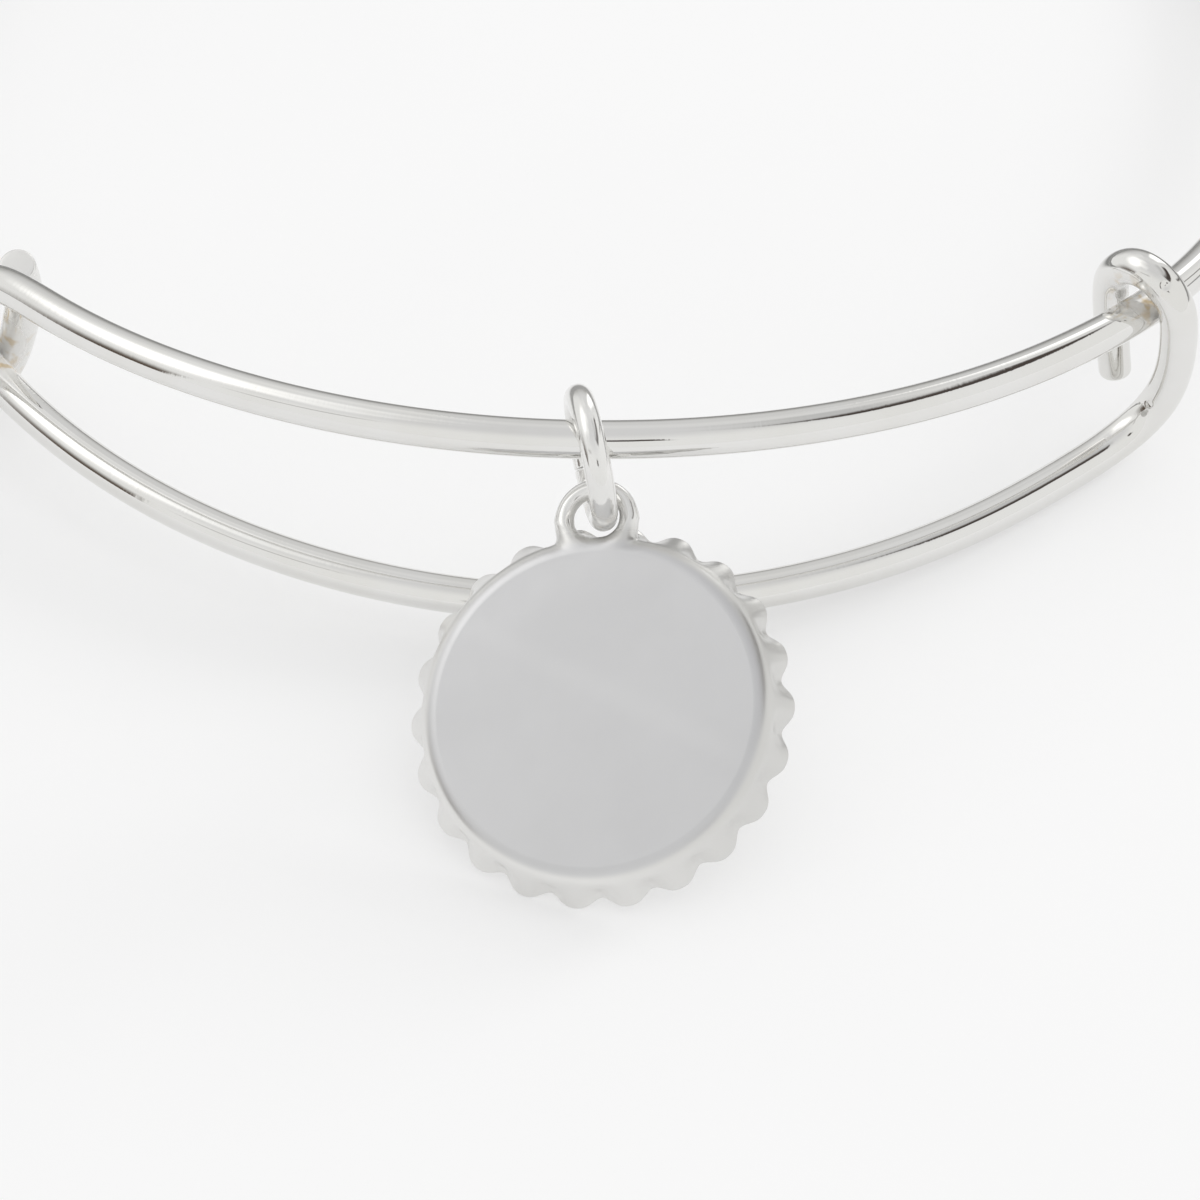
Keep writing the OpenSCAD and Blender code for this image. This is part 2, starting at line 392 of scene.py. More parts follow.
# %% [markdown]
# ## The bottle cap charm
# The real charm is one small casting: a flat back, a rounded shoulder, a skirt of flutes
# that flares down to a rounded rim, and a bail at the top. Casting leaves no sharp edge, so
# the shape is drawn as a profile and carried round. It could be spun, but then each flute
# would have to be pushed in afterwards at two places at once. A disc with sixteen columns to
# a flute is better: its edge is extruded from one section of the profile to the next, and
# the columns of every section are then drawn in by as much as the flute is deep there.

# %% Set the charm's profile
FLUTES = 22
COLUMNS_PER_FLUTE = 16
COLUMNS = FLUTES * COLUMNS_PER_FLUTE
TIP_BREADTH = 0.16

# Lengths in mm. Each section has its radius, its depth below the flat back, and its share of
# the flutes' depth. The shoulder is an arc of 1 mm radius round the flat.
FLUTE_DEPTH = 0.5
FLAT_RADIUS = 6.85
SHOULDER = [(FLAT_RADIUS + math.sin(math.radians(turn)), 1 - math.cos(math.radians(turn)), 0)
            for turn in range(0, 56, 5)]
SKIRT = [(7.76, 0.56, 0.10), (7.88, 0.76, 0.32), (8.03, 1.00, 0.62), (8.21, 1.28, 0.90),
         (8.36, 1.50, 1.0), (8.42, 1.60, 1.0), (8.37, 1.68, 1.0), (8.22, 1.70, 0.98)]


def smooth_row(points, steps):
    """Add steps between the points of a row, along a smooth curve through them."""
    row = []
    ends = [points[0], *points, points[-1]]
    for a, b, c, d in zip(ends, ends[1:], ends[2:], ends[3:]):
        for step in range(steps):
            t = step / steps
            row.append(tuple(
                0.5 * (2 * q + (r - p) * t + (2 * p - 5 * q + 4 * r - s) * t ** 2
                       + (3 * q - p - 3 * r + s) * t ** 3)
                for p, q, r, s in zip(a, b, c, d)))
    return [*row, points[-1]]


profile = SHOULDER + smooth_row(SKIRT, 3)
print(len(profile), "sections, from", profile[0], "to", profile[-1])

# %% Extrude the sections from a disc
bpy.ops.mesh.primitive_circle_add(vertices=COLUMNS, radius=profile[0][0] * MM, fill_type="NGON")
charm = bpy.context.object
charm.name = "cap_charm"
open_up(charm, "EDGE")
pick(charm, lambda edge: edge.is_boundary, "edges")
for (radius, depth, _), (next_radius, next_depth, _) in zip(profile, profile[1:]):
    widen = next_radius / radius
    bpy.ops.mesh.extrude_edges_indiv()
    bpy.ops.transform.resize(value=(widen, widen, 1), center_override=(0, 0, 0))
    bpy.ops.transform.translate(value=(0, 0, (depth - next_depth) * MM))
bpy.ops.mesh.edge_face_add()
bpy.ops.mesh.select_all(action="SELECT")
bpy.ops.mesh.normals_make_consistent(inside=False)
print("open edges left:", pick(charm, lambda edge: not edge.is_manifold, "edges"))

# %% [markdown]
# The flutes have broad round tips and tighter valleys, which a cosine with a little of its
# first overtone gives. The top of the charm, where the bail stands, is a valley.

# %% Draw in the flutes
def flute_wave(column):
    turn = 2 * math.pi * (column - COLUMNS_PER_FLUTE / 2) / COLUMNS_PER_FLUTE
    return (math.cos(turn) - TIP_BREADTH * math.cos(2 * turn) - 1 + TIP_BREADTH) / 2


def column_of(vertex):
    return round(math.atan2(vertex.co.x, vertex.co.y) / (2 * math.pi) * COLUMNS) % COLUMNS_PER_FLUTE


open_up(charm)
for radius, depth, share in profile:
    if share <= 0:
        continue
    for column in range(COLUMNS_PER_FLUTE // 2):
        narrow = 1 + share * FLUTE_DEPTH * flute_wave(column) / radius
        pick(charm, lambda v: abs(v.co.z + depth * MM) < MERGE
             and abs(v.co.xy.length - radius * MM) < MERGE
             and column_of(v) in (column, COLUMNS_PER_FLUTE - column))
        bpy.ops.transform.resize(value=(narrow, narrow, 1), center_override=(0, 0, 0))
take(charm)
report(charm)

# %% [markdown]
# The bail is a small round ring that grows out of the cap's edge, with legs that widen
# where they meet it. It is a circle spun round the middle of its hole. The sections that
# come near the cap are then picked one by one and widened about their own middles.

# %% Spin the bail and widen its legs
BAIL_MIDDLE = Vector((0, 8.44, -0.6)) * MM
BAIL_RADIUS = 1.44 * MM
BAIL_WIRE_RADIUS = 0.41 * MM
BAIL_SIDES = 24
BAIL_STEPS = 72
# The legs widen between these heights, in degrees above the middle of the hole
LEG_STARTS, LEG_ENDS = 20, -50
LEG_WIDENING = 0.55
MOST_THICKENING = 1.4
ONE_SECTION = math.cos(math.radians(1))

bpy.ops.mesh.primitive_circle_add(vertices=BAIL_SIDES, radius=BAIL_WIRE_RADIUS,
                                  location=(BAIL_RADIUS, 0, 0), rotation=(math.pi / 2, 0, 0))
bail = bpy.context.object
bpy.ops.object.transform_apply(location=True, rotation=True)
open_up(bail)
bpy.ops.mesh.select_all(action="SELECT")
bpy.ops.mesh.spin(steps=BAIL_STEPS, angle=2 * math.pi, center=(0, 0, 0), axis=(0, 0, 1))
bpy.ops.mesh.select_all(action="SELECT")
bpy.ops.mesh.remove_doubles(threshold=MERGE)
bpy.ops.mesh.normals_make_consistent(inside=False)

for step in range(BAIL_STEPS):
    turn = 360 * step / BAIL_STEPS
    height = 90 - abs((turn - 90 + 180) % 360 - 180)
    share = min(max((LEG_STARTS - height) / (LEG_STARTS - LEG_ENDS), 0), 1)
    if share > 0:
        way = Vector((math.cos(math.radians(turn)), math.sin(math.radians(turn)), 0))
        pick(bail, lambda v: v.co.xy.length > 0 and v.co.xy.normalized().dot(way.xy) > ONE_SECTION)
        widen = 1 + LEG_WIDENING * share ** 1.5
        bpy.ops.transform.resize(value=(widen, widen, min(widen, MOST_THICKENING)),
                                 center_override=way * BAIL_RADIUS)
take(bail)
bail.location = BAIL_MIDDLE
bpy.ops.object.transform_apply(location=True)
report(bail)

# %% [markdown]
# Cap and bail are one casting, so they become one closed skin with a Boolean union. The
# union leaves a sharp seam where the two meet. The seam's vertices belong to neither piece,
# so they are found as those that were in neither mesh before. With their neighbours they
# are smoothed into the soft hollow that molten metal leaves.

# %% Join the bail to the cap and smooth the seam
SEAM_GROWTH = 4
SEAM_ROUNDS = 12


def near_tree(*pieces):
    points = [v.co.copy() for piece in pieces for v in piece.data.vertices]
    tree = KDTree(len(points))
    for number, point in enumerate(points):
        tree.insert(point, number)
    tree.balance()
    return tree


before = near_tree(charm, bail)
apply_modifier(charm, "BOOLEAN", operation="UNION", solver="EXACT", object=bail)
bpy.data.objects.remove(bail)
open_up(charm)
seam = pick(charm, lambda v: before.find(v.co)[2] > MERGE / 10)
for growth in range(SEAM_GROWTH):
    bpy.ops.mesh.select_more()
bpy.ops.mesh.vertices_smooth(factor=0.5, repeat=SEAM_ROUNDS)
print("seam vertices:", seam,
      "open edges left:", pick(charm, lambda edge: not edge.is_manifold, "edges"))
take(charm)
bpy.ops.object.shade_smooth_by_angle(angle=math.radians(50))
report(charm)

# %% [markdown]
# The finish differs between the satin back and the polished rim, so each vertex keeps its
# place on the flat-lying charm as an attribute. Then the charm is turned to how it hangs:
# the frame names the middle of its back and the way that the back faces, and the farthest
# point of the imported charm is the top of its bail. A shift of 0.2 mm up the slope brings it
# to where the photograph shows it.

# %% Note each vertex's place on the charm, then hang the charm
HANG_SHIFT = Vector((0.02, 0.2, 0.04)) * MM


def keep_place(piece, name):
    place = piece.data.attributes.new(name, "FLOAT_VECTOR", "POINT")
    place.data.foreach_set("vector", [c for v in piece.data.vertices for c in v.co])


keep_place(charm, "cap_place")
back = next(m for m in frame["record"]["mounts"] if m["name"] == "charm_back")
back_middle, outward = Vector(back["pos_m"]), Vector(back["axis"]).normalized()
farthest = max((v.co for v in frame["nodes"]["bottle_cap_charm"].data.vertices),
               key=lambda co: (co - back_middle).length)
to_bail = farthest - back_middle
to_bail = (to_bail - to_bail.dot(outward) * outward).normalized()
charm_turn = Matrix((to_bail.cross(outward), to_bail, outward)).transposed().to_4x4()
take(charm)
charm.matrix_world = Matrix.Translation(back_middle + HANG_SHIFT) @ charm_turn
bpy.ops.object.transform_apply(location=True, rotation=True)
report(charm)

# %% [markdown]
# ## Finishes
# Everything here is bright silver plate, so every material is a metal whose look comes from
# what it reflects. What makes it silver and not a plain mirror is small: the tone drifts a
# little from place to place, old polish leaves fine marks, and the plate turns warm in the
# hollows that a cloth does not reach. Each of these is built once as a node group.

# %% Helpers for nodes
def feed(tree, source, socket):
    if isinstance(source, bpy.types.NodeSocket):
        tree.links.new(source, socket)
    elif source is not None:
        socket.default_value = source


def node_of(tree, kind, inputs=None, **settings):
    node = tree.nodes.new("ShaderNode" + kind)
    for key, value in settings.items():
        setattr(node, key, value)
    for name, value in (inputs or {}).items():
        feed(tree, value, node.inputs[name])
    return node


def maths(tree, operation, *values):
    node = node_of(tree, "Math", operation=operation)
    for value, socket in zip(values, node.inputs):
        feed(tree, value, socket)
    return node.outputs[0]


def ramp(tree, value, start, end, low=0.0, high=1.0):
    """Run smoothly from low at start to high at end."""
    settings = {"Value": value, "From Min": start, "From Max": end, "To Min": low, "To Max": high}
    return node_of(tree, "MapRange", settings, interpolation_type="SMOOTHSTEP").outputs["Result"]


def blend_colour(tree, share, first, second):
    node = node_of(tree, "Mix", data_type="RGBA")
    feed(tree, share, node.inputs["Factor"])
    feed(tree, first, node.inputs[6])
    feed(tree, second, node.inputs[7])
    return node.outputs[2]


def new_group(name, inputs, outputs):
    group = bpy.data.node_groups.new(name, "ShaderNodeTree")
    for label, kind, value in inputs:
        socket = group.interface.new_socket(label, in_out="INPUT", socket_type="NodeSocket" + kind)
        if value is not None:
            socket.default_value = value
    for label, kind in outputs:
        group.interface.new_socket(label, in_out="OUTPUT", socket_type="NodeSocket" + kind)
    return group, group.nodes.new("NodeGroupInput").outputs, group.nodes.new("NodeGroupOutput").inputs


def use_group(tree, group, **values):
    node = tree.nodes.new("ShaderNodeGroup")
    node.node_tree = group
    for label, value in values.items():
        feed(tree, value, node.inputs[label])
    return node.outputs


# %% [markdown]
# The first group gives the plate's tone. A soft noise picks between a bright and a duller
# silver, so that no large area is one flat colour.

# %% Group for the tone of the plate
tone, tone_in, tone_out = new_group(
    "plate_tone",
    [("Place", "Vector", None), ("Bright", "Color", (0.9, 0.9, 0.9, 1)),
     ("Dull", "Color", (0.8, 0.8, 0.8, 1)), ("Patches per metre", "Float", 300.0)],
    [("Colour", "Color"), ("Dullness", "Float")])
cloud = node_of(tone, "TexNoise", {"Vector": tone_in["Place"], "Scale": tone_in["Patches per metre"],
                                   "Detail": 3.0, "Roughness": 0.55}).outputs[0]
dullness = ramp(tone, cloud, 0.35, 0.68)
feed(tone, dullness, tone_out["Dullness"])
feed(tone, blend_colour(tone, dullness, tone_in["Bright"], tone_in["Dull"]), tone_out["Colour"])

# %% [markdown]
# The second group gives fine marks. A noise that is squeezed across and stretched along one
# way becomes hairlines, and unstretched it becomes the fine grain of a satin finish.

# %% Group for hairlines and grain
marks, marks_in, marks_out = new_group(
    "fine_marks",
    [("Place", "Vector", None), ("Squeeze", "Vector", (1, 1, 1)), ("Marks per metre", "Float", 8000.0)],
    [("Height", "Float"), ("Wear", "Float")])
squeezed = node_of(marks, "VectorMath", operation="MULTIPLY")
feed(marks, marks_in["Place"], squeezed.inputs[0])
feed(marks, marks_in["Squeeze"], squeezed.inputs[1])
lines = node_of(marks, "TexNoise", {"Vector": squeezed.outputs[0], "Scale": marks_in["Marks per metre"],
                                    "Detail": 2.0, "Roughness": 0.6}).outputs[0]
feed(marks, lines, marks_out["Height"])
feed(marks, ramp(marks, lines, 0.5, 0.72), marks_out["Wear"])

# %% [markdown]
# The third group is the warm stain round a place where two pieces rub. It fades with the
# distance from that place and is broken up by the same kind of noise. It also puts out the
# plain nearness to the place, which makes milky spots and small dents. All of this could be
# painted on an image, but a place and a reach are enough and stay sharp at any size.

# %% Group for the warm stain where pieces rub
stain, stain_in, stain_out = new_group(
    "rubbed_stain",
    [("Place", "Vector", None), ("Spot", "Vector", None), ("Reach", "Float", 0.003)],
    [("Stain", "Float"), ("Nearness", "Float")])
apart = node_of(stain, "VectorMath", operation="DISTANCE")
feed(stain, stain_in["Place"], apart.inputs[0])
feed(stain, stain_in["Spot"], apart.inputs[1])
nearness = maths(stain, "SUBTRACT", 1.0, maths(stain, "DIVIDE", apart.outputs["Value"], stain_in["Reach"]))
speckle = node_of(stain, "TexNoise",
                  {"Vector": stain_in["Place"], "Scale": 1500.0, "Detail": 2.0}).outputs[0]
specks = ramp(stain, speckle, 0.52, 0.68)
feed(stain, maths(stain, "MULTIPLY", ramp(stain, nearness, 0.0, 0.8), specks), stain_out["Stain"])
feed(stain, ramp(stain, nearness, 0.0, 1.0), stain_out["Nearness"])

# %% [markdown]
# Wire and ring are drawn wire. Their tone is faintly warm and their hairlines follow the
# wire. Where hook and strand rub, on the cut end and low on the ring, the plate has gone
# milky: there it scatters light more than it mirrors it, which a lower Metallic gives, and
# the rubbed places are a little yellow. Two small nicks are dents in the relief.

# %% Finish of the hooked wire
BRIGHT_SILVER = (0.805, 0.80, 0.785, 1)
DULL_SILVER = (0.785, 0.778, 0.755, 1)
RING_SILVER = (0.88, 0.875, 0.86, 1)
WARM_STAIN = (0.62, 0.50, 0.33, 1)
MILKY = 0.65
RING_METALLIC = 0.85
# Milky spots: the place, how far it reaches, and how much of the warm stain it has
RIGHT_RUB = (Vector((24.7, -21.1, 8.5)) * MM, 2.2 * MM, 1.0)
LEFT_RUB = (Vector((-27.6, -17.6, 3.4)) * MM, 3.4 * MM, 1.0)
LEFT_CUT = (Vector((-25.75, -16.4, 8.15)) * MM, 1.6 * MM, 0.0)
RING_RUB = (Vector((-0.1, -34.9, 8.7)) * MM, 2.6 * MM, 0.35)
NICKS = [Vector(spot) * MM for spot in ((24.88, -22.80, 3.2), (25.4, -22.29, 10.0))]
NICK_REACH = 0.28 * MM
NICK_DEPTH = 0.05 * MM
CHATTER_RISE = 0.004 * MM
CHATTER_WEAR = 0.002 * MM
HAIRLINE_RISE = 0.0008 * MM


def new_material(name):
    material = bpy.data.materials.new(name)
    material.use_nodes = True
    tree = material.node_tree
    shader = next(n for n in tree.nodes if n.type == "BSDF_PRINCIPLED")
    shader.inputs["Metallic"].default_value = 1.0
    place = tree.nodes.new("ShaderNodeTexCoord").outputs["Object"]
    return material, tree, shader.inputs, place


def bump(tree, height, distance, under=None):
    node = node_of(tree, "Bump", {"Height": height, "Distance": distance, "Strength": 1.0})
    feed(tree, under, node.inputs["Normal"])
    return node.outputs["Normal"]


def kept_place(tree, name):
    return node_of(tree, "Attribute", attribute_type="GEOMETRY", attribute_name=name).outputs["Vector"]


def drawn_silver(name, bright, dull, rough, metal, spots, nicks):
    material, tree, shader, place = new_material(name)
    straight = kept_place(tree, "laid_straight")
    plate = use_group(tree, tone, **{"Place": place, "Bright": bright, "Dull": dull,
                                     "Patches per metre": 260.0})
    drawn = use_group(tree, marks, **{"Place": straight, "Squeeze": (1, 1, 0.03),
                                      "Marks per metre": 7000.0})
    chatter = use_group(tree, marks, **{"Place": straight, "Squeeze": (0.3, 0.3, 1),
                                        "Marks per metre": 2200.0})
    colour, bare = plate["Colour"], metal
    for spot, reach, tint in spots:
        rubbed = use_group(tree, stain, **{"Place": place, "Spot": spot, "Reach": reach})
        if tint:
            share = maths(tree, "MULTIPLY", rubbed["Stain"], tint)
            colour = blend_colour(tree, share, colour, WARM_STAIN)
        bare = maths(tree, "SUBTRACT", bare, ramp(tree, rubbed["Nearness"], 0.0, 0.6, 0.0, MILKY))
    feed(tree, colour, shader["Base Color"])
    feed(tree, bare, shader["Metallic"])
    wear = maths(tree, "ADD", plate["Dullness"], drawn["Wear"])
    feed(tree, ramp(tree, wear, 0.0, 2.0, *rough), shader["Roughness"])
    relief = maths(tree, "ADD", maths(tree, "MULTIPLY", chatter["Height"], CHATTER_RISE),
                   maths(tree, "MULTIPLY", chatter["Wear"], -CHATTER_WEAR))
    relief = maths(tree, "ADD", relief, maths(tree, "MULTIPLY", drawn["Height"], HAIRLINE_RISE))
    for spot in nicks:
        dent = use_group(tree, stain, **{"Place": place, "Spot": spot, "Reach": NICK_REACH})["Nearness"]
        relief = maths(tree, "ADD", relief, maths(tree, "MULTIPLY", dent, -NICK_DEPTH))
    feed(tree, bump(tree, relief, 1.0), shader["Normal"])
    return material


wire.data.materials.append(drawn_silver("bangle_silver", BRIGHT_SILVER, DULL_SILVER, (0.04, 0.09), 1.0,
                                        (RIGHT_RUB, LEFT_RUB, LEFT_CUT), NICKS))
ring.data.materials.append(drawn_silver("ring_silver", RING_SILVER, BRIGHT_SILVER, (0.09, 0.15),
                                        RING_METALLIC, (RING_RUB,), ()))
for piece in (wire, ring):
    print(piece.name, "is finished as", piece.data.materials[0].name)

# %% [markdown]
# The charm's back was left satin: a fine even grain scatters the light, a faint drift of
# tone goes over it, and a lighter streak of colour runs across its middle. The skirt is
# smoother, with a painted sheen that makes it brightest at the lower left, and the bail is
# polished. The casting could have a material for each finish, but then every border would
# be a hard line between faces. One material with soft masks, drawn from each point's place
# on the charm, lets them run together.

# %% Masks on the charm
SATIN_EDGE = 7.4 * MM
SATIN_BLUR = 0.25 * MM
SATIN_DEPTHS = (-0.25 * MM, -0.08 * MM)
BAIL_STARTS, BAIL_FULL = 7.6 * MM, 8.4 * MM
# A straight band of lighter colour across the satin back
ACROSS_STREAK = (0.47, 0.88, 0)
STREAK_PLACE = 0.9 * MM
STREAK_BREADTH = 0.9 * MM
STREAK_STRENGTH = 0.5
# Painted sheen: the skirt's colour is made brighter towards the lower left
LOWER_LEFT = (-0.87, -0.5, 0)
SHEEN_FROM, SHEEN_TO = -3 * MM, 6 * MM


def along_way(tree, place, direction):
    """How far each place lies in a direction."""
    node = node_of(tree, "VectorMath", {"Vector": place}, operation="DOT_PRODUCT")
    node.inputs[1].default_value = direction
    return node.outputs["Value"]


material, tree, shader, place = new_material("charm_silver")
cap_place = kept_place(tree, "cap_place")
parts = node_of(tree, "SeparateXYZ", {"Vector": cap_place}).outputs
from_middle = maths(tree, "SQRT", maths(tree, "ADD", maths(tree, "MULTIPLY", parts["X"], parts["X"]),
                                        maths(tree, "MULTIPLY", parts["Y"], parts["Y"])))
satin = maths(tree, "MULTIPLY", ramp(tree, from_middle, SATIN_EDGE + SATIN_BLUR, SATIN_EDGE - SATIN_BLUR),
              ramp(tree, parts["Z"], *SATIN_DEPTHS))
on_bail = ramp(tree, parts["Y"], BAIL_STARTS, BAIL_FULL)
off_streak = maths(tree, "ABSOLUTE", maths(tree, "SUBTRACT", along_way(tree, cap_place, ACROSS_STREAK),
                                           STREAK_PLACE))
streak = ramp(tree, off_streak, STREAK_BREADTH, 0.0, 0.0, STREAK_STRENGTH)
# Mask of the painted sheen towards the lower left
painted_sheen = ramp(tree, along_way(tree, cap_place, LOWER_LEFT), SHEEN_FROM, SHEEN_TO)
print("the satin ends", round(SATIN_EDGE / MM, 2), "mm from the middle of the back")

# %% [markdown]
# With the masks in place, each zone gets its silver, its roughness and its relief. Satin is
# a matter of roughness first: the grain is only a thousandth of a millimetre high.

# %% Finish of the charm
SATIN_SILVER = (0.64, 0.64, 0.647, 1)
STREAK_SILVER = (0.665, 0.665, 0.67, 1)
SKIRT_SILVER = (0.70, 0.695, 0.68, 1)
PAINTED_SKIRT_SHEEN = (0.81, 0.805, 0.79, 1)
BAIL_SILVER = (0.84, 0.835, 0.82, 1)
BAIL_METALLIC = 0.75
SATIN_ROUGHNESS, SKIRT_ROUGHNESS, BAIL_ROUGHNESS = 0.38, 0.29, 0.12
WIPED_ROUGHNESS = 0.03
CAST_RISE = 0.006 * MM
GRAIN_RISE = 0.001 * MM

plate = use_group(tree, tone, **{"Place": place, "Bright": (1, 1, 1, 1), "Dull": (0.97, 0.97, 0.97, 1),
                                 "Patches per metre": 170.0})
grain = use_group(tree, marks, **{"Place": cap_place, "Marks per metre": 9000.0})
wiped = use_group(tree, marks, **{"Place": cap_place, "Squeeze": (1, 0.45, 1), "Marks per metre": 700.0})
cast = use_group(tree, marks, **{"Place": cap_place, "Marks per metre": 1200.0})

# The skirt's colour carries the painted sheen at the lower left
bright = blend_colour(tree, on_bail, blend_colour(tree, painted_sheen, SKIRT_SILVER, PAINTED_SKIRT_SHEEN), BAIL_SILVER)
silver = blend_colour(tree, satin, bright, blend_colour(tree, streak, SATIN_SILVER, STREAK_SILVER))
shaded = node_of(tree, "Mix", data_type="RGBA", blend_type="MULTIPLY")
feed(tree, 1.0, shaded.inputs["Factor"])
feed(tree, silver, shaded.inputs[6])
feed(tree, plate["Colour"], shaded.inputs[7])
feed(tree, shaded.outputs[2], shader["Base Color"])
feed(tree, ramp(tree, on_bail, 0.0, 1.0, 1.0, BAIL_METALLIC), shader["Metallic"])

smooth = ramp(tree, on_bail, 0.0, 1.0, SKIRT_ROUGHNESS, BAIL_ROUGHNESS)
rough = maths(tree, "MULTIPLY", maths(tree, "SUBTRACT", SATIN_ROUGHNESS, smooth), satin)
rough = maths(tree, "ADD", rough, smooth)
rough = maths(tree, "ADD", rough, ramp(tree, wiped["Wear"], 0.0, 1.0, 0.0, WIPED_ROUGHNESS))
feed(tree, rough, shader["Roughness"])
soft = bump(tree, cast["Height"], CAST_RISE)
feed(tree, bump(tree, maths(tree, "MULTIPLY", grain["Height"], satin), GRAIN_RISE, soft), shader["Normal"])
charm.data.materials.append(material)
print(charm.name, "is finished as", material.name, "with", len(tree.nodes), "nodes")

# %% [markdown]
# ## Tie the pieces to the model
# Nothing on this bangle moves in the model, so all three pieces ride on its one body. Each
# stands for the imported part of the same shape, which is then hidden.

# %% Ride and replace
for piece, node_name, slot_name in ((wire, "bangle_wire", "bangle_silver"),
                                    (ring, "jump_ring", "ring_silver"),
                                    (charm, "bottle_cap_charm", "charm_silver")):
    take(piece)
    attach(piece, "root")
    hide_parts(node_name)
    print(piece.name, "stands for", node_name)

# %% [markdown]
# ## Floor, light and surroundings
# The photograph was taken on white, in a tent of soft light. The floor is a plain matt
# plane. It has a painted glow, though it is no lamp, which lifts the shadows and keeps
# them pale. In the silver's mirror image alone it is painted darker under the hoop, a
# painted shade for the less light that came in there on the real table, and this gives
# the two strands their dark upper edges.

# %% Lay the floor
FLOOR_SIZE = 3
PAPER_WHITE = (0.56, 0.56, 0.56, 1)
PAPER_DULL = (0.555, 0.555, 0.555, 1)
# Painted glow: the floor gives off light of its own, though it is no lamp
PAINTED_FLOOR_GLOW = 0.394
# Painted shade under the hoop, seen only in the silver's mirror image
MIRROR_SHADE_FROM, MIRROR_SHADE_TO = -8 * MM, 14 * MM
MIRRORED_SHADE = (0.17, 0.17, 0.17, 1)
MIRRORED_SHADE_GLOW = (0.30, 0.30, 0.29, 1)

bpy.ops.mesh.primitive_plane_add(size=FLOOR_SIZE)
floor = bpy.context.object
floor.name = "table"
material, tree, shader, place = new_material("matt_white")
shader["Metallic"].default_value = 0.0
shader["Roughness"].default_value = 0.9
shader["Specular IOR Level"].default_value = 0.1
paper = use_group(tree, tone, **{"Place": place, "Bright": PAPER_WHITE, "Dull": PAPER_DULL,
                                 "Patches per metre": 40.0})
behind = ramp(tree, node_of(tree, "SeparateXYZ", {"Vector": place}).outputs["Y"], MIRROR_SHADE_FROM, MIRROR_SHADE_TO)
# Painted shade: only glossy rays see the floor darker here
shade_in_mirror = maths(tree, "MULTIPLY", behind, tree.nodes.new("ShaderNodeLightPath").outputs["Is Glossy Ray"])
feed(tree, blend_colour(tree, shade_in_mirror, paper["Colour"], MIRRORED_SHADE), shader["Base Color"])
feed(tree, blend_colour(tree, shade_in_mirror, (1, 1, 1, 1), MIRRORED_SHADE_GLOW), shader["Emission Color"])
shader["Emission Strength"].default_value = PAINTED_FLOOR_GLOW
floor.data.materials.append(material)
print(floor.name, "is", FLOOR_SIZE, "m wide and glows by", PAINTED_FLOOR_GLOW)

# %% [markdown]
# Polished silver shows what stands round it, so the surroundings are drawn by direction. A
# pale dome holds a grey screen behind, darker low on the far side, white screens high on
# the left, a shaded side and a lamp on the right, and the few dark gaps between screens
# that give the wire its thin dark lines. Screens could be built as lit planes, but drawn on
# the world they cost no light samples and their edges can be as soft as wished.

# %% Draw the surroundings
DOME_LOW, DOME_HIGH = (0.92, 0.92, 0.91, 1), (0.76, 0.76, 0.765, 1)
BACK_SCREEN = (0.74, 0.74, 0.74, 1)
FAR_SIDE = (0.38, 0.375, 0.36, 1)
SHADED_SIDE = (0.60, 0.60, 0.60, 1)
PALE_SCREEN = (1.03, 1.03, 1.02, 1)
WHITE_SCREEN = (1.70, 1.69, 1.67, 1)
LEFT_GAP = (0.12, 0.095, 0.075, 1)
FAINT_GAP = (0.46, 0.45, 0.44, 1)
DARK_GAP = (0.08, 0.066, 0.06, 1)
LAMP = (1.5, 1.5, 1.48, 1)

# Azimuths and elevations in degrees (azimuth 0 is towards the camera, 90 to the right), how
# soft the left, right, lower and upper edge is, the climb for each degree of azimuth, colour
SCREENS = [
    ((138, 230), (-40, 50), (22, 1, 1, 14), 0, BACK_SCREEN),
    ((-230, -158), (-40, 34), (1, 12, 1, 12), 0, BACK_SCREEN),
    ((150, 215), (-40, 9), (14, 1, 1, 14), 0, FAR_SIDE),
    ((-215, -150), (-40, 9), (1, 14, 1, 16), 0, FAR_SIDE),
    ((-160, -58), (58, 76), (14, 14, 6, 9), 0, PALE_SCREEN),
    ((-144, -84), (38, 61), (18, 16, 11, 11), 0, WHITE_SCREEN),
    ((-92, -65), (-12, 17), (16, 1.5, 1, 12), 0, LEFT_GAP),
    ((-60, -38), (35, 38.5), (5, 5, 2.5, 3), 0.5, FAINT_GAP),
    ((5, 18.5), (31.5, 41), (1, 1.5, 1, 3), 0, DARK_GAP),
    ((60, 138), (55, 68), (9, 10, 6, 8), 0, SHADED_SIDE),
    ((66, 131), (41, 54), (4, 5, 1.5, 5), -0.25, DARK_GAP),
    ((112, 134), (6.4, 10.4), (3, 3, 2, 3), -1.1, DARK_GAP),
    ((145, 163), (-5, 36), (3, 3, 8, 8), 0, LAMP),
]

print(len(SCREENS), "screens and gaps on the dome")

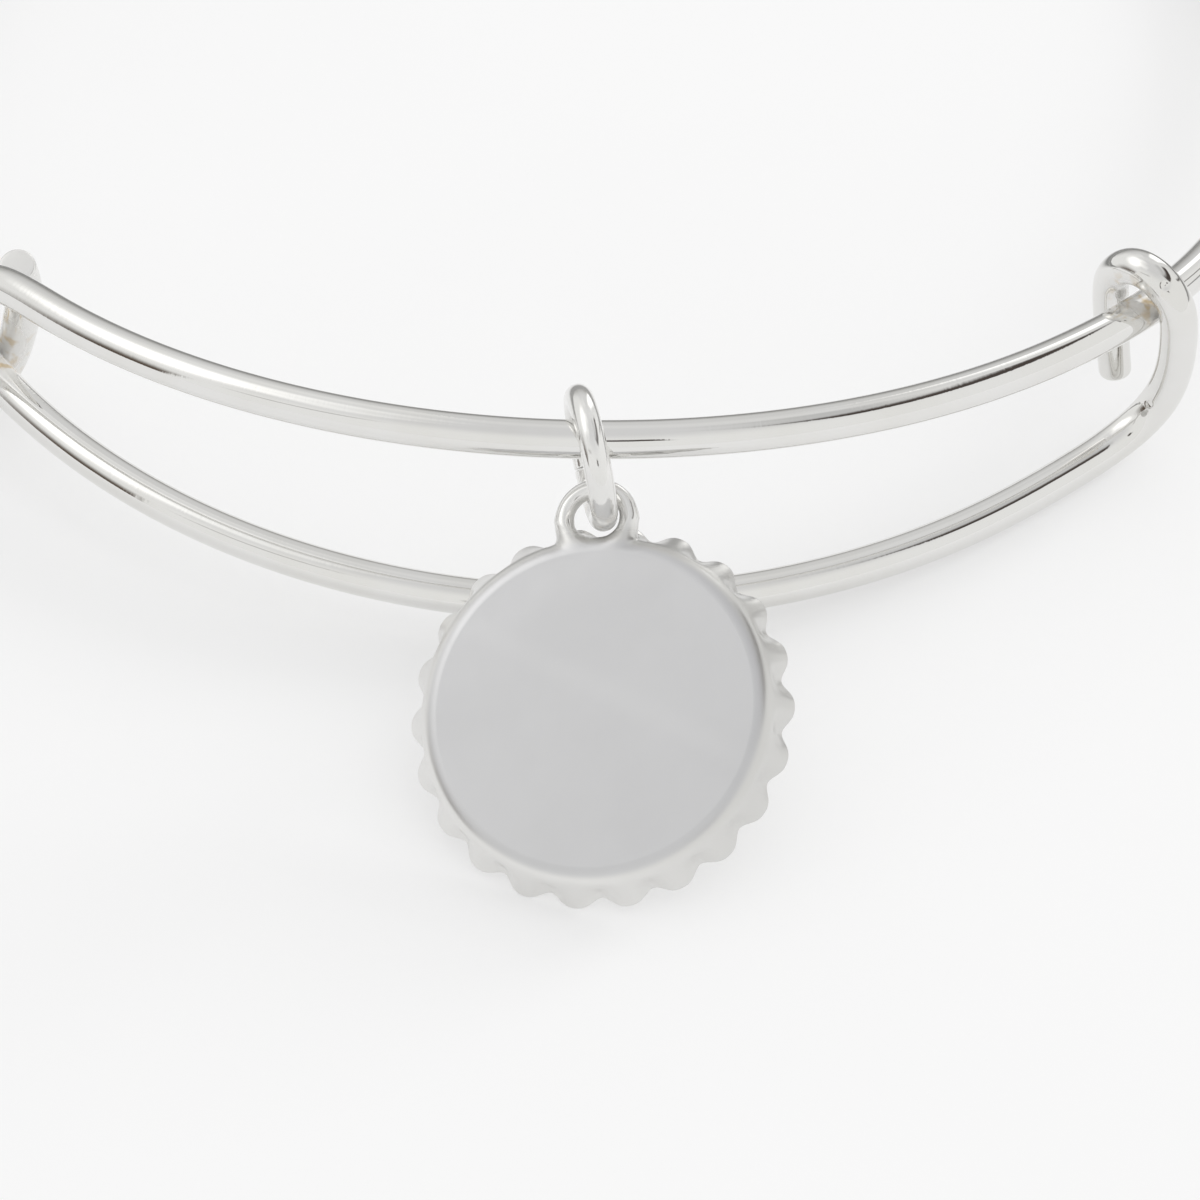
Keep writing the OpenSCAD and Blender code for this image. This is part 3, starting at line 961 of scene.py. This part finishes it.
# %% Hang the screens on the dome
world = bpy.data.worlds.new("studio")
bpy.context.scene.world = world
world.use_nodes = True
tree = world.node_tree
tree.nodes.clear()
direction = tree.nodes.new("ShaderNodeTexCoord").outputs["Generated"]
way = node_of(tree, "SeparateXYZ", {"Vector": direction}).outputs
elevation = maths(tree, "DEGREES", maths(tree, "ARCSINE", way["Z"]))
azimuth = maths(tree, "DEGREES", maths(tree, "ARCTAN2", way["X"], maths(tree, "MULTIPLY", way["Y"], -1.0)))
sight = blend_colour(tree, ramp(tree, elevation, 35.0, 75.0), DOME_LOW, DOME_HIGH)
for azimuths, elevations, edges, climb, colour in SCREENS:
    from_middle = maths(tree, "SUBTRACT", azimuth, sum(azimuths) / 2)
    levelled = maths(tree, "SUBTRACT", elevation, maths(tree, "MULTIPLY", from_middle, climb))
    mask = 1.0
    for angle, (start, end), (soft_start, soft_end) in ((azimuth, azimuths, edges[:2]),
                                                        (levelled, elevations, edges[2:])):
        mask = maths(tree, "MULTIPLY", mask, ramp(tree, angle, start - soft_start, start + soft_start))
        mask = maths(tree, "MULTIPLY", mask, ramp(tree, angle, end + soft_end, end - soft_end))
    sight = blend_colour(tree, mask, sight, colour)
print(len(tree.nodes), "nodes draw the surroundings")

# %% [markdown]
# Matt surfaces don't mirror, so they get a plain fill instead of the screens. It is stronger
# from the far right, where most of the photograph's light seems to come from, and weaker
# from the left, so that the soft shadows fall to the front left.

# %% Fill the matt surfaces with light
FILL = 0.90
FILL_LEAN = 0.40
TO_LIGHT_X, TO_LIGHT_Y = 0.91, 0.42

to_light = maths(tree, "ADD", maths(tree, "MULTIPLY", way["X"], TO_LIGHT_X),
                 maths(tree, "MULTIPLY", way["Y"], TO_LIGHT_Y))
fill = maths(tree, "MULTIPLY_ADD", to_light, FILL_LEAN, FILL)
rays = tree.nodes.new("ShaderNodeLightPath").outputs
seen = node_of(tree, "Background", {"Color": sight, "Strength": 1.0}).outputs[0]
filled = node_of(tree, "Background", {"Color": (1, 1, 1, 1), "Strength": fill}).outputs[0]
mixed = node_of(tree, "MixShader", {"Fac": rays["Is Diffuse Ray"]})
feed(tree, seen, mixed.inputs[1])
feed(tree, filled, mixed.inputs[2])
feed(tree, mixed.outputs[0], node_of(tree, "OutputWorld").inputs["Surface"])
print("fill from", FILL - FILL_LEAN, "to", FILL + FILL_LEAN)

# %% [markdown]
# The pale shadows in the photograph all fall to the front left, so one low soft lamp stands
# on the far right. The silver mirrors the drawn surroundings and not this lamp, because a
# lamp's own mirror image would leave hard round spots on the wire.

# %% Place the soft lamp
LAMP_AZIMUTH = math.radians(122)
LAMP_ELEVATION = math.radians(20)
LAMP_DISTANCE = 1.0
LAMP_SIZE = 0.35
LAMP_WATTS = 2.4

way = Vector((math.sin(LAMP_AZIMUTH) * math.cos(LAMP_ELEVATION),
              -math.cos(LAMP_AZIMUTH) * math.cos(LAMP_ELEVATION), math.sin(LAMP_ELEVATION)))
bpy.ops.object.light_add(type="AREA", location=LOOK_AT + LAMP_DISTANCE * way,
                         rotation=way.to_track_quat("Z", "Y").to_euler())
lamp = bpy.context.object
lamp.name = "low_soft_lamp"
lamp.data.shape = "DISK"
lamp.data.size = LAMP_SIZE
lamp.data.energy = LAMP_WATTS
lamp.visible_glossy = False
bpy.context.scene.view_settings.view_transform = "Standard"
print("lamp at", [round(v, 2) for v in lamp.location], "m")
